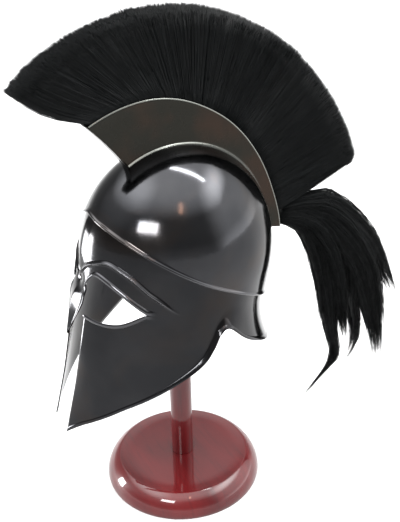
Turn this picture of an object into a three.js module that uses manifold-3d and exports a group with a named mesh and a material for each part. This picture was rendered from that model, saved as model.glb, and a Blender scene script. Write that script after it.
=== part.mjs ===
// A Greek hoplite's helmet with a horsehair crest, held up by a turned wooden stand.
// Millimetres. +Z is up, the face looks along -Y and +X is the wearer's left side.
// The origin is the centre of the stand's underside.
//
// The helmet is worked out in a frame of its own, tipped back by PITCH on the stand: there X is
// the wearer's left, Y the back and Z the crown, from the middle of the skull. Skull and mask
// share one skin, a plan outline that rises straight and then closes over the head.
import * as THREE from 'three';
import { mergeVertices } from 'three/addons/utils/BufferGeometryUtils.js';
import Module from 'manifold-3d';

const wasm = await Module();
wasm.setup();

// ---------------------------------------------------------------- driving dimensions
const PITCH = THREE.MathUtils.degToRad(12);
const SKULL_CENTRE = new THREE.Vector3(0, 4, 330);

const SKIN = {
  halfWidth: 108.5, front: 125.5, back: 121, height: 133.5,
  planPower: 1.8, risePower: 2.05, crownShift: -3,
};
const SHEET = 1.6;           // thickness of the hammered steel
const SKULL_PROUD = 1.0;     // the skull's outer face stands this far outside the skin
const MASK_PROUD = -1.6;     // the mask's outer face lies this far inside it
const LAP = 8;               // the mask runs up under the skull by this much
const SKULL_BEAD = { width: 2.6, height: 0.8 };

const HEM_BEAD = { width: 4, height: 0.9 };
const EYE_BEAD = { width: 4.2, height: 1.5 };
const BROW_RIDGE = { halfWidth: 3, height: 2.4 };
const BEAD_SHOULDER = 1.4;   // width of a bead's sloping side

const NASAL_EDGE = 19.3;     // half width of the nasal where it leaves the brow
const NASAL_ROOT = -37.4;    // height of that line
const SLIT_EDGE = 24.1;      // half width of the face slit below the eyes

const CREST = {
  centreY: -6, halfWidth: 11, sheet: 1.4, clearance: 0.5, floor: 2,
  frontLow: -37.6, frontHigh: -42.6, rearLow: 73.6, rearHigh: 75.4, end: 0.006,
};
const BRUSH = {
  from: 0.01, to: 0.93, rootGap: 1, reach: 279, rootHalf: 9, tipHalf: 27, locks: 24, lockNotch: 5,
  rows: [0, 0.16, 0.4, 0.7, 0.96, 1],
};
const GAP = 0.4;             // clearance kept between touching pieces

const POST = { radius: 14.6, sides: 24 };
const BASE = {
  radius: 105, flatRadius: 88, thickness: 30, sides: 48,
  rim: { radius: 32, low: 87, high: 28 },   // the rim's arc, its ends in degrees from straight up
};

// ---------------------------------------------------------------- small helpers
const clamp01 = (t) => Math.min(1, Math.max(0, t));
const mix = (a, b, t) => a + (b - a) * t;
const smooth = (t) => { const u = clamp01(t); return u * u * (3 - 2 * u); };
const steps = (n) => Array.from({ length: n + 1 }, (_, i) => i / n);

// A smooth function through a short table of [x, value] rows, with x rising.
function through(rows) {
  const slope = rows.map((row, i) => {
    const before = rows[Math.max(0, i - 1)];
    const after = rows[Math.min(rows.length - 1, i + 1)];
    return (after[1] - before[1]) / (after[0] - before[0]);
  });
  return (x) => {
    let i = 0;
    while (i < rows.length - 2 && x > rows[i + 1][0]) i += 1;
    const [x0, y0] = rows[i];
    const [x1, y1] = rows[i + 1];
    const h = x1 - x0;
    const t = clamp01((x - x0) / h);
    const t2 = t * t;
    const t3 = t2 * t;
    return (2 * t3 - 3 * t2 + 1) * y0 + (t3 - 2 * t2 + t) * h * slope[i]
      + (3 * t2 - 2 * t3) * y1 + (t3 - t2) * h * slope[i + 1];
  };
}

// A closed mesh from a list of faces, each a ring of three or four points.
function faceGeometry(faces) {
  const positions = [];
  for (const ring of faces) {
    for (let i = 1; i < ring.length - 1; i += 1) {
      const triangle = [ring[0], ring[i], ring[i + 1]];
      const flat = triangle.some((p, k) => p.distanceTo(triangle[(k + 1) % 3]) < 1e-4);
      if (!flat) triangle.forEach((p) => positions.push(p.x, p.y, p.z));
    }
  }
  const geometry = new THREE.BufferGeometry();
  geometry.setAttribute('position', new THREE.Float32BufferAttribute(positions, 3));
  return mergeVertices(geometry, 1e-3);
}

// Sheet metal: an open skin of faces, given its thickness inwards and closed along its edges.
function sheetGeometry(faces, thickness) {
  const skin = faceGeometry(faces);
  skin.computeVertexNormals();
  const outer = skin.getAttribute('position');
  const normal = skin.getAttribute('normal');
  const index = Array.from(skin.getIndex().array);
  const count = outer.count;
  const positions = Array.from(outer.array);
  for (let i = 0; i < count; i += 1) {
    positions.push(
      outer.getX(i) - normal.getX(i) * thickness,
      outer.getY(i) - normal.getY(i) * thickness,
      outer.getZ(i) - normal.getZ(i) * thickness,
    );
  }
  const edges = new Set();
  for (let i = 0; i < index.length; i += 3) {
    for (let k = 0; k < 3; k += 1) edges.add(`${index[i + k]},${index[i + ((k + 1) % 3)]}`);
  }
  const triangles = [...index];
  for (let i = 0; i < index.length; i += 3) {
    triangles.push(index[i] + count, index[i + 2] + count, index[i + 1] + count);
  }
  for (const edge of edges) {
    const [a, b] = edge.split(',').map(Number);
    if (!edges.has(`${b},${a}`)) triangles.push(b, a, a + count, b, a + count, b + count);
  }
  const geometry = new THREE.BufferGeometry();
  geometry.setAttribute('position', new THREE.Float32BufferAttribute(positions, 3));
  geometry.setIndex(triangles);
  return geometry;
}

// The faces between neighbouring rows of points; every row has the same number of points.
function gridFaces(rows, closed = false) {
  const faces = [];
  for (let j = 0; j < rows.length - 1; j += 1) {
    const columns = rows[j].length - (closed ? 0 : 1);
    for (let i = 0; i < columns; i += 1) {
      const next = (i + 1) % rows[j].length;
      faces.push([rows[j][i], rows[j][next], rows[j + 1][next], rows[j + 1][i]]);
    }
  }
  return faces;
}

const mirrored = (faces) => faces.map((ring) => ring
  .map((p) => new THREE.Vector3(-p.x, p.y, p.z)).reverse());

function toManifold(geometry) {
  const bare = geometry.clone();
  bare.deleteAttribute('normal');
  bare.deleteAttribute('uv');
  const merged = mergeVertices(bare, 1e-4);
  const vertProperties = new Float32Array(merged.getAttribute('position').array);
  const triVerts = new Uint32Array(merged.getIndex().array);
  return new wasm.Manifold(new wasm.Mesh({ numProp: 3, vertProperties, triVerts }));
}

function fromManifold(solid) {
  const mesh = solid.getMesh();
  const geometry = new THREE.BufferGeometry();
  geometry.setAttribute('position', new THREE.Float32BufferAttribute(mesh.vertProperties, 3));
  geometry.setIndex(Array.from(mesh.triVerts));
  return geometry;
}

// ---------------------------------------------------------------- the skin
const planAngleAtX = (x) => Math.asin((x / SKIN.halfWidth) ** (SKIN.planPower / 2));
const planAngleAtY = (y) => (y < 0
  ? Math.acos((-y / SKIN.front) ** (SKIN.planPower / 2))
  : Math.PI / 2 + Math.asin((y / SKIN.back) ** (SKIN.planPower / 2)));

// The plan outline by its angle: 0 is the middle of the face, pi the nape.
function planPoint(angle) {
  const c = Math.cos(angle);
  const reach = c > 0 ? -SKIN.front : SKIN.back;
  const power = 2 / SKIN.planPower;
  return [SKIN.halfWidth * Math.abs(Math.sin(angle)) ** power, reach * Math.abs(c) ** power];
}

// A point of the skin at a height, or a little proud of it.
function skinPoint(angle, z, proud) {
  const { planPower: p, risePower: m, height } = SKIN;
  const rise = Math.max(0, z) / height;
  const scale = Math.max(0, 1 - rise ** m) ** (1 / m);
  const [planX, planY] = planPoint(angle);
  const x = planX * scale;
  const y = planY * scale;
  const reach = planY < 0 ? SKIN.front : SKIN.back;
  const lateral = Math.max(scale, 1e-6) ** (m - p);
  const normal = new THREE.Vector3(
    lateral * (x / SKIN.halfWidth) ** (p - 1) / SKIN.halfWidth,
    Math.sign(y) * lateral * (Math.abs(y) / reach) ** (p - 1) / reach,
    rise ** (m - 1) / height,
  ).normalize();
  return new THREE.Vector3(x, y + SKIN.crownShift * rise, z).addScaledVector(normal, proud);
}

// The line where the skull laps over the mask, by the plan's y and x.
function stepHeight(angle) {
  const [x, y] = planPoint(angle);
  const peak = 3 * Math.max(0, 1 - x / 22);
  return y < 0 ? -8 - 0.24 * y + 0.0012 * y * y + peak : -8 - 0.24 * y - 0.0004 * y * y;
}

// ---------------------------------------------------------------- the skull
function skullGeometry() {
  const columns = 24;
  const rises = 8;
  const half = steps(columns).map((share) => {
    const angle = Math.PI * share;
    const foot = stepHeight(angle);
    const beadTop = foot + SKULL_BEAD.width;
    const start = Math.asin((beadTop + BEAD_SHOULDER) / SKIN.height);
    const rows = [
      skinPoint(angle, foot, SKULL_PROUD + SKULL_BEAD.height),
      skinPoint(angle, beadTop, SKULL_PROUD + SKULL_BEAD.height),
    ];
    for (const t of steps(rises)) {
      const z = SKIN.height * Math.sin(mix(start, Math.PI / 2, t));
      rows.push(skinPoint(angle, z, SKULL_PROUD));
    }
    return rows;
  });
  const rows = half[0].map((_, j) => half.map((column) => column[j]));
  const faces = gridFaces(rows);
  return sheetGeometry([...faces, ...mirrored(faces)], SHEET);
}

// ---------------------------------------------------------------- the mask
const upperLid = through([[19.3, -37.4], [24, -28], [32, -20], [43, -21.4], [62, -30.5], [84, -46]]);
const lowerLid = through([[24.1, -69.5], [45, -70], [61, -66.8], [71, -60.5], [84, -46]]);
const browLine = through([[0, -30], [9, -21], [19, -11.3], [31, -4.9], [46, 0], [61.5, -4.5],
  [75, -13], [87, -25]]);
const cheekHem = through([[21.3, -226.5], [39, -209.5], [54, -196.5], [67.5, -183], [84, -163]]);

// Behind the eye the edge runs down to the heel of the cheek, round the neck's arch and out
// along the neck guard. Each row is a station: hem y and z, the y that its column reaches at the
// step, how far the edge flares, and the width of that flare.
const SIDE_STATIONS = [
  { hemY: -72, hemZ: -163, topY: -72, flare: 0, width: 14, parts: 3 },
  { hemY: -36, hemZ: -132, topY: -40, flare: 1.5, width: 14, parts: 3 },
  { hemY: -6, hemZ: -102, topY: -15, flare: 4.5, width: 15, parts: 3 },
  { hemY: 3.6, hemZ: -81, topY: -4, flare: 6.5, width: 16, parts: 3 },
  { hemY: 9.5, hemZ: -61.5, topY: 8, flare: 7, width: 18, parts: 2 },
  { hemY: 21, hemZ: -55, topY: 22, flare: 7.5, width: 24, parts: 3 },
  { hemY: 50, hemZ: -73.5, topY: 50, flare: 11, width: 42, parts: 3 },
  { hemY: 84, hemZ: -88, topY: 84, flare: 15, width: 50, parts: 3 },
  { hemY: 121, hemZ: -103.5, topY: 121, flare: 21, width: 60, parts: 0 },
];

// The brow ridge behind the eye's corner, by station.
const sideBrow = through([[0, -22], [0.35, -28.5], [0.72, -36.6], [1.1, -43]]);

// The columns of the mask's left half, from the middle of the face to the nape.
function maskColumns() {
  const columns = [];
  const front = [0, 5, 10, 15, NASAL_EDGE, 21.5, SLIT_EDGE, 28, 32.5, 39, 46, 54, 62, 70, 77];
  for (const x of front) {
    const angle = planAngleAtX(x);
    const lean = 2.8 * clamp01(1 - (x - SLIT_EDGE) / 20);
    columns.push({
      lowAngle: planAngleAtX(Math.max(0, x - lean)), topAngle: angle, x,
      hem: cheekHem(x - lean), lower: lowerLid(x), upper: x < NASAL_EDGE ? NASAL_ROOT : upperLid(x),
      brow: browLine(x), flare: 0, flareWidth: 14,
      kick: clamp01(1 - (x - SLIT_EDGE) / 22),
    });
  }
  const field = (name) => through(SIDE_STATIONS.map((row, i) => [i, row[name]]));
  const [hemY, hemZ, topY, flare, width] = ['hemY', 'hemZ', 'topY', 'flare', 'width'].map(field);
  SIDE_STATIONS.forEach((row, i) => {
    for (let k = 0; k < Math.max(1, row.parts); k += 1) {
      const s = i + k / Math.max(1, row.parts);
      const topAngle = planAngleAtY(Math.min(SKIN.back, topY(s)));
      const top = stepHeight(topAngle);
      const hem = hemZ(s);
      const fade = smooth(s / 1.1);
      const split = mix(-46, mix(hem, top, mix(0.64, 0.5, clamp01(s / 5))), smooth(s / 1.2));
      columns.push({
        lowAngle: planAngleAtY(Math.min(SKIN.back, hemY(s))), topAngle, x: planPoint(topAngle)[0],
        hem, lower: split, upper: split,
        brow: mix(sideBrow(s), mix(split, top, 0.4), smooth((s - 0.8) / 1.2)),
        flare: flare(s), flareWidth: width(s), fade, kick: 0,
      });
    }
  });
  columns.forEach((column) => { column.top = stepHeight(column.topAngle); });
  return columns;
}

// How much taller a band across a sloping line has to be to keep its width.
function steepness(columns, i, name) {
  const a = columns[Math.max(0, i - 1)];
  const b = columns[Math.min(columns.length - 1, i + 1)];
  const [ax, ay] = planPoint(a.topAngle);
  const [bx, by] = planPoint(b.topAngle);
  return Math.min(2.2, Math.hypot(1, (b[name] - a[name]) / Math.hypot(bx - ax, by - ay)));
}

const ridge = (column, height) => height * (1 - (column.fade ?? 0));

// Heights and proudness of one column's points, from the hem up to the eye.
function cheekRows(columns, i) {
  const column = columns[i];
  const length = column.lower - column.hem;
  const low = Math.min(HEM_BEAD.width * steepness(columns, i, 'hem'), 0.16 * length);
  const high = Math.min(EYE_BEAD.width * steepness(columns, i, 'lower'), 0.16 * length);
  const eye = ridge(column, EYE_BEAD.height);
  const from = column.hem + low + BEAD_SHOULDER;
  const to = column.lower - high - BEAD_SHOULDER;
  return [
    [column.hem, HEM_BEAD.height], [column.hem + low, HEM_BEAD.height], [from, 0],
    [mix(from, to, 0.25), 0], [mix(from, to, 0.5), 0], [mix(from, to, 0.75), 0],
    [to, 0], [column.lower - high, eye], [column.lower, eye],
  ];
}

// The same from the eye up over the brow ridge to the edge under the skull.
function browRows(columns, i) {
  const column = columns[i];
  const brow = ridge(column, BROW_RIDGE.height);
  const eye = column.x < NASAL_EDGE - 1 ? 0 : ridge(column, EYE_BEAD.height);
  const reach = column.brow - column.upper;
  const half = Math.min(BROW_RIDGE.halfWidth * steepness(columns, i, 'brow'), 0.3 * reach);
  const band = Math.min(EYE_BEAD.width * steepness(columns, i, 'upper'), 0.3 * reach);
  const over = column.brow + half;
  return [
    [column.upper, eye], [column.upper + band, eye],
    [mix(column.upper + band, column.brow - half, 0.35), 0], [column.brow - half, 0],
    [column.brow, brow], [over, 0],
    [mix(over, column.top, 0.33), 0], [mix(over, column.top, 0.67), 0],
    [column.top, 0], [column.top + LAP, 0],
  ];
}

// The forehead's keel and the hollow at the root of the nose.
function faceRelief({ x, top }, z) {
  const keel = 1.8 * Math.max(0, 1 - x / 14) * smooth((z + 12) / 10) * smooth((top - z) / 9);
  const root = -4 * Math.exp(-(((z + 33) / 8) ** 2)) * Math.exp(-((x / 10) ** 2));
  return keel + root;
}

function maskPoint(column, z, proud) {
  const t = clamp01((z - column.hem) / (column.top - column.hem));
  const angle = mix(column.lowAngle, column.topAngle, t);
  const flare = column.flare * Math.max(0, 1 - (z - column.hem) / column.flareWidth) ** 2;
  const kick = 3 * column.kick * smooth((-150 - z) / 76);
  const relief = column.x < NASAL_EDGE ? faceRelief(column, z) : 0;
  return skinPoint(angle, z, MASK_PROUD + proud + flare + kick + relief);
}

const nasalHalfWidth = through([[-103, 0.8], [-80, 11.4], [-57, 21.8], [-48, 21.8], [-37.4, 19.3]]);
const nasalKeel = through([[-103, -129.6], [-78, -130.4], [-59, -129.6], [-37.4, -122.6]]);
const nasalSide = through([[-103, -129.2], [-78, -125.4], [-57, -123.4], [-37.4, -121.4]]);

// The nasal: a keeled leaf that hangs from the brow and stands a little ahead of the cheeks.
function nasalFaces(columns) {
  const heights = [NASAL_ROOT, -43, -50, -57, -68, -79, -91, -103];
  const rows = heights.map((z) => columns.map((column) => {
    const across = column.x / NASAL_EDGE;
    const onSkin = maskPoint(column, z, 0);
    const y = mix(nasalKeel(z), nasalSide(z), across);
    return new THREE.Vector3(
      across * nasalHalfWidth(z), mix(onSkin.y, y, smooth((NASAL_ROOT - z) / 12)), z,
    );
  }));
  rows[0] = columns.map((column) => maskPoint(column, NASAL_ROOT, 0));
  return gridFaces(rows.reverse());
}

function maskGeometry() {
  const columns = maskColumns();
  const edge = columns.findIndex((column) => column.x >= NASAL_EDGE - 1e-6);
  const slit = columns.findIndex((column) => column.x >= SLIT_EDGE - 1e-6);
  const lift = (makeRows, from) => {
    const grid = columns.slice(from)
      .map((column, i) => makeRows(columns, i + from).map(([z, proud]) => maskPoint(column, z, proud)));
    return gridFaces(grid[0].map((_, j) => grid.map((points) => points[j])));
  };
  const inner = columns.slice(0, edge + 1);
  const left = [...lift(cheekRows, slit), ...lift(browRows, 0), ...nasalFaces(inner)];
  return sheetGeometry([...left, ...mirrored(left)], SHEET);
}

// ---------------------------------------------------------------- the crest
// The crest lies in the middle plane. Its angle is measured back from straight up, about a
// point CREST.centreY from the skull's middle.
const crestHeight = through([[-43, 64.5], [-16, 54.5], [9, 37.3], [33, 22.5], [54, 16.5], [76, 19.5]]);

// Distance from the crest's centre to the skull's outer face, found by halving.
function skullRadius(degrees) {
  const angle = THREE.MathUtils.degToRad(degrees);
  const { height, risePower: m } = SKIN;
  let low = 60;
  let high = 200;
  for (let i = 0; i < 40; i += 1) {
    const r = (low + high) / 2;
    const z = r * Math.cos(angle);
    const y = CREST.centreY + r * Math.sin(angle) - SKIN.crownShift * z / height;
    const inside = (Math.abs(y) / (y < 0 ? SKIN.front : SKIN.back)) ** m
      + (Math.max(0, z) / height) ** m < 1;
    if (inside) low = r; else high = r;
  }
  return low + SKULL_PROUD;
}

function crestPoint(x, degrees, radius) {
  const angle = THREE.MathUtils.degToRad(degrees);
  return new THREE.Vector3(x, CREST.centreY + radius * Math.sin(angle), radius * Math.cos(angle));
}

// Where a share of the way along the holder lies, at its floor and at its mouth, in degrees.
const lowAngle = (s) => mix(CREST.frontLow, CREST.rearLow, s);
const highAngle = (s) => mix(CREST.frontHigh, CREST.rearHigh, s);

// A slab of the crest's own crescent: its half width, how far its floor and its top stand off
// the holder's, and the shares of the holder's length at which it starts and ends.
function crestSlab(halfWidth, floor, rise, from, to, parts = 24) {
  const rings = steps(parts).map((t) => {
    const low = lowAngle(mix(from, to, t));
    const high = highAngle(mix(from, to, t));
    const floorRadius = skullRadius(low) + CREST.clearance + floor;
    const height = crestHeight(high);
    const over = mix(low, high, 1 + rise / height);
    const topRadius = skullRadius(high) + height + rise;
    return [
      crestPoint(-halfWidth, low, floorRadius), crestPoint(-halfWidth, over, topRadius),
      crestPoint(halfWidth, over, topRadius), crestPoint(halfWidth, low, floorRadius),
    ];
  });
  return faceGeometry([...gridFaces(rings, true), [...rings[0]].reverse(), rings[parts]]);
}

// The holder is a trough of folded sheet that sits on the skull, with both ends closed.
function crestBoxGeometry() {
  const { halfWidth, sheet, floor } = CREST;
  const outside = toManifold(crestSlab(halfWidth, 0, 0, 0, 1));
  const inside = toManifold(crestSlab(halfWidth - sheet, floor, 20, CREST.end, 1 - CREST.end));
  return fromManifold(outside.subtract(inside));
}

// The brush: a fan of stiff hair dressed in locks. It stands in the holder, between its sides and
// ends, and spreads from the holder's mouth outwards, the end hairs the furthest.
const brushTip = through([[0, -53], [0.12, -41], [0.5, 13], [0.88, 54], [1, 61]]);

function brushColumn(s, sign) {
  const along = mix(BRUSH.from, BRUSH.to, s);
  const low = lowAngle(along);
  const high = highAngle(along);
  const root = crestPoint(0, low, skullRadius(low) + CREST.clearance + CREST.floor + BRUSH.rootGap);
  const mouth = crestPoint(0, high, skullRadius(high) + crestHeight(high) + 1);
  const lock = Math.abs(Math.sin(Math.PI * BRUSH.locks * s));
  const tip = crestPoint(0, brushTip(s), BRUSH.reach - BRUSH.lockNotch * (1 - lock));
  const ends = mix(0.5, 1, smooth(12 * Math.min(s, 1 - s)));
  const points = BRUSH.rows.map((r) => {
    const point = mouth.clone().lerp(tip, r);
    const spread = mix(BRUSH.rootHalf, BRUSH.tipHalf, r ** 0.8) * mix(1, 0.84 + 0.16 * lock, r);
    point.x = sign * mix(BRUSH.rootHalf, spread, ends) * (r === 1 ? 0.55 : 1);
    return point;
  });
  root.x = sign * BRUSH.rootHalf;
  return [root, ...points];
}

function brushGeometry() {
  const columns = steps(BRUSH.locks * 3);
  const left = columns.map((s) => brushColumn(s, 1));
  const right = columns.map((s) => brushColumn(s, -1));
  const rings = right.map((column, i) => [...column, ...[...left[i]].reverse()]);
  const last = columns.length - 1;
  return faceGeometry([
    ...gridFaces(rings, true),
    ...capFaces(right[0], left[0]).map((ring) => [...ring].reverse()),
    ...capFaces(right[last], left[last]),
  ]);
}

// The strip of faces that closes one end of the brush between its two sides.
function capFaces(from, to) {
  return from.slice(1).map((point, i) => [from[i], point, to[i + 1], to[i]]);
}

// The tail: horsehair falling from the holder's rear end, in locks that part towards their tips.
// Each row is a lock: points of its centre line (y, z in the stand's frame), how far it stands to
// the left, and its half width at the belly.
const TAIL_LOCKS = [
  { x: 4, belly: 15, line: [[150, 360], [211, 360], [265, 322], [306, 274], [335, 226], [362, 176]] },
  { x: -5, belly: 17, line: [[150, 358], [209, 352], [259, 311], [300, 256], [324, 196], [343, 131],
    [352, 74]] },
  { x: 8, belly: 18, line: [[150, 355], [207, 346], [253, 302], [288, 249], [308, 191], [323, 131],
    [336, 68]] },
  { x: -9, belly: 18, line: [[150, 352], [203, 341], [244, 297], [273, 240], [291, 179], [302, 123],
    [288, 84], [266, 81]] },
  { x: 6, belly: 16, line: [[150, 351], [198, 338], [232, 295], [252, 242], [263, 186], [274, 123]] },
  { x: -2, belly: 15, line: [[149, 349], [191, 333], [216, 293], [231, 243], [240, 193], [249, 138],
    [261, 101], [238, 80], [212, 54]] },
  { x: 3, belly: 10, line: [[149, 347], [187, 328], [207, 292], [220, 250], [226, 204], [226, 164]] },
];
const TAIL = { from: 0.945, to: 0.99, rootHalf: 8, tipHalf: 1.6, sides: 6, parts: 8 };

function lockGeometry({ x, line, belly }) {
  const curve = new THREE.CatmullRomCurve3(line.map(([y, z], i) => (
    new THREE.Vector3(x * smooth(i / 2), y, z))), false, 'centripetal');
  const rings = steps(TAIL.parts).map((t) => {
    const centre = curve.getPointAt(t);
    const along = curve.getTangentAt(t);
    const across = new THREE.Vector3(1, 0, 0).cross(along).normalize();
    const swell = mix(TAIL.rootHalf, belly, smooth(t / 0.35));
    const half = mix(swell, TAIL.tipHalf, smooth((t - 0.5) / 0.5) ** 0.8);
    return steps(TAIL.sides).slice(0, TAIL.sides).map((u) => {
      const turn = 2 * Math.PI * u;
      return centre.clone().addScaledVector(across, half * Math.cos(turn))
        .add(new THREE.Vector3(0.8 * half * Math.sin(turn), 0, 0));
    });
  });
  return faceGeometry([...gridFaces(rings, true), [...rings[0]].reverse(), rings[TAIL.parts]]);
}

// A prism across the helmet, with its outline in the middle plane.
function crossPrism(outline, halfWidth) {
  const side = (x) => outline.map(([y, z]) => new THREE.Vector3(x, y, z));
  const rings = [side(-halfWidth), side(halfWidth)];
  return faceGeometry([...gridFaces(rings, true), [...rings[0]].reverse(), rings[1]]);
}

// The locks are trimmed clear of the brush above them and of the holder, and run together in
// one root that fills the holder's rear end.
function tailGeometry() {
  const place = helmetFrame();
  const inPlace = (geometry) => toManifold(geometry.applyMatrix4(place));
  const under = brushColumn(1, 0).slice(1);
  const [mouth, tip] = [under[0], under[under.length - 1]];
  const drop = GAP + 0.2;
  const beyond = mouth.clone().lerp(tip, 2);
  const above = crossPrism([[mouth.y - 12, mouth.z - 12 - drop], [mouth.y, mouth.z - drop],
    [beyond.y, beyond.z - drop], [beyond.y, 400], [mouth.y - 12, 400]], 80);
  const holder = crestSlab(CREST.halfWidth + GAP, -GAP, GAP, -0.003, 1.004);
  const root = crestSlab(BRUSH.rootHalf, CREST.floor + BRUSH.rootGap, 3, TAIL.from, TAIL.to, 2);
  const locks = TAIL_LOCKS.map((lock) => toManifold(lockGeometry(lock)))
    .reduce((solid, lock) => solid.add(lock));
  return fromManifold(locks.subtract(inPlace(above)).subtract(inPlace(holder)).add(inPlace(root)));
}

// ---------------------------------------------------------------- the stand
function turned(profile, sides) {
  const geometry = new THREE.LatheGeometry(profile.map(([r, z]) => new THREE.Vector2(r, z)), sides);
  return geometry.rotateX(Math.PI / 2);
}

// A round disc with a plump rim, an arc from the edge of the flat top down to the widest line.
function baseGeometry() {
  const { radius, flatRadius, thickness, sides, rim } = BASE;
  const profile = [[0, 0], [radius - 1, 0]];
  for (const t of steps(4)) {
    const turn = THREE.MathUtils.degToRad(mix(rim.low, rim.high, t));
    profile.push([
      flatRadius + rim.radius * (Math.sin(turn) - Math.sin(THREE.MathUtils.degToRad(rim.high))),
      thickness + rim.radius * (Math.cos(turn) - Math.cos(THREE.MathUtils.degToRad(rim.high))),
    ]);
  }
  profile.push([0, thickness]);
  return turned(profile, sides);
}

// The post runs up inside the helmet to the crown, where it ends in a plain round nose.
function postGeometry() {
  const { radius, sides } = POST;
  const crown = new THREE.Vector3(0, 0, 0);
  const place = helmetFrame();
  let low = 380;
  let high = 520;
  for (let i = 0; i < 40; i += 1) {
    crown.set(0, 0, (low + high) / 2);
    const inside = place.clone().invert();
    const local = crown.clone().applyMatrix4(inside);
    const { height, risePower: m, front } = SKIN;
    const y = local.y - SKIN.crownShift * local.z / height;
    if ((Math.abs(y) / front) ** m + (local.z / height) ** m < 1) low = crown.z; else high = crown.z;
  }
  const skullInside = SHEET - SKULL_PROUD;
  const centre = low - (radius + skullInside + 2 * GAP) / Math.cos(PITCH);
  const nose = steps(6).map((t) => [
    radius * Math.cos(t * Math.PI / 2), centre + radius * Math.sin(t * Math.PI / 2),
  ]);
  nose[6][0] = 0;
  return turned([[0, BASE.thickness + GAP], [radius, BASE.thickness + GAP], ...nose], sides);
}

// ---------------------------------------------------------------- assembly
function helmetFrame() {
  return new THREE.Matrix4().makeRotationX(-PITCH).setPosition(SKULL_CENTRE);
}

const STEEL = { color: 0x3a3b3d, roughness: 0.12, metalness: 1 };
const CREST_STEEL = { color: 0x35352f, roughness: 0.35, metalness: 0.9 };
const HAIR = { color: 0x15151a, roughness: 0.6, metalness: 0 };
const LACQUERED_WOOD = { color: 0x6e1a20, roughness: 0.15, metalness: 0 };

function piece(name, geometry, finish) {
  const mesh = new THREE.Mesh(geometry, new THREE.MeshStandardMaterial(finish));
  mesh.name = name;
  return mesh;
}

const helmet = new THREE.Group();
helmet.position.copy(SKULL_CENTRE);
helmet.rotation.x = -PITCH;
helmet.add(
  piece('skull', skullGeometry(), STEEL),
  piece('mask', maskGeometry(), STEEL),
  piece('crest_holder', crestBoxGeometry(), CREST_STEEL),
  piece('crest_brush', brushGeometry(), HAIR),
);

const model = new THREE.Group();
model.add(
  helmet,
  piece('crest_tail', tailGeometry(), HAIR),
  piece('stand_base', baseGeometry(), LACQUERED_WOOD),
  piece('stand_post', postGeometry(), LACQUERED_WOOD),
);

export default model;
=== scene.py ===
"""A Greek helmet with a horsehair crest on a turned wooden stand."""
import math

import bpy
import numpy as np
from mathutils import Matrix, Vector


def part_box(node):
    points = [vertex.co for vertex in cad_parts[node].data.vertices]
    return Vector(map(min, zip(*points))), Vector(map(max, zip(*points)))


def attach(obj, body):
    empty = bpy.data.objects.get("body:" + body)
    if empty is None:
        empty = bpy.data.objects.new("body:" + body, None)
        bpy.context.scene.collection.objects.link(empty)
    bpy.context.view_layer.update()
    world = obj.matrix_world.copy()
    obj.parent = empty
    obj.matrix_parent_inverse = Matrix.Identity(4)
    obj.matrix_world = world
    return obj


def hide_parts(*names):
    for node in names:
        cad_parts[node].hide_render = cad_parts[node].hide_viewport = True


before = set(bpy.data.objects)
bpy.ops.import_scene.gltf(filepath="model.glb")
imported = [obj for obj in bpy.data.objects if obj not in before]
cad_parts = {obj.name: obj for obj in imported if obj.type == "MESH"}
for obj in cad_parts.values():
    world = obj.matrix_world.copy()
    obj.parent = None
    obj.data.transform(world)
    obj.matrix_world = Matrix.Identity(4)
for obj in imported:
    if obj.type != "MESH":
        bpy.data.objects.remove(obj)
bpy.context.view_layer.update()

MM = 0.001
RNG = np.random.default_rng(27)

# ---------------------------------------------------------------- the helmet's own frame
PITCH = math.radians(12)
SKULL_CENTRE = (0, 4, 330)
SKIN_HALF, SKIN_FRONT, SKIN_BACK, SKIN_HEIGHT = 108.5, 125.5, 121.0, 133.5
PLAN_POWER, RISE_POWER, CROWN_SHIFT = 1.8, 2.05, -3.0
SHEET, CUT_EDGE = 1.6, 0.35
SKULL_PROUD, MASK_PROUD, LAP = 1.0, -1.6, 8.0


def clamp01(t):
    return np.clip(t, 0.0, 1.0)


def mix(a, b, t):
    return a + (b - a) * t


def smooth(t):
    u = clamp01(t)
    return u * u * (3 - 2 * u)


def through(*rows):
    """A smooth function through a short table of (x, value) rows, with x rising."""
    xs, ys = (np.array(column, float) for column in zip(*rows))
    before = np.maximum(np.arange(len(xs)) - 1, 0)
    after = np.minimum(np.arange(len(xs)) + 1, len(xs) - 1)
    slopes = (ys[after] - ys[before]) / (xs[after] - xs[before])

    def value(x):
        x = np.asarray(x, float)
        i = np.clip(np.searchsorted(xs, x, side="right") - 1, 0, len(xs) - 2)
        step = xs[i + 1] - xs[i]
        t = clamp01((x - xs[i]) / step)
        return ((2 * t**3 - 3 * t**2 + 1) * ys[i] + (t**3 - 2 * t**2 + t) * step * slopes[i]
                + (3 * t**2 - 2 * t**3) * ys[i + 1] + (t**3 - t**2) * step * slopes[i + 1])
    return value


def stack(*parts):
    return np.stack(np.broadcast_arrays(*parts), axis=-1)


def on_stand(points):
    """From the helmet's own frame to the stand's, where the helmet is tipped back."""
    x, y, z = points[..., 0], points[..., 1], points[..., 2]
    c, s = math.cos(PITCH), math.sin(PITCH)
    return stack(x, y * c + z * s, z * c - y * s) + np.array(SKULL_CENTRE)


def angle_at_x(x):
    return np.arcsin((np.asarray(x) / SKIN_HALF) ** (PLAN_POWER / 2))


def angle_at_y(y):
    y = np.clip(y, -SKIN_FRONT, SKIN_BACK)
    front = np.arccos(clamp01(-y / SKIN_FRONT) ** (PLAN_POWER / 2))
    back = math.pi / 2 + np.arcsin(clamp01(y / SKIN_BACK) ** (PLAN_POWER / 2))
    return np.where(y < 0, front, back)


def plan_point(angle):
    c, s = np.cos(angle), np.abs(np.sin(angle))
    reach = np.where(c > 0, -SKIN_FRONT, SKIN_BACK)
    power = 2 / PLAN_POWER
    return SKIN_HALF * s**power, reach * np.abs(c) ** power


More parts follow.
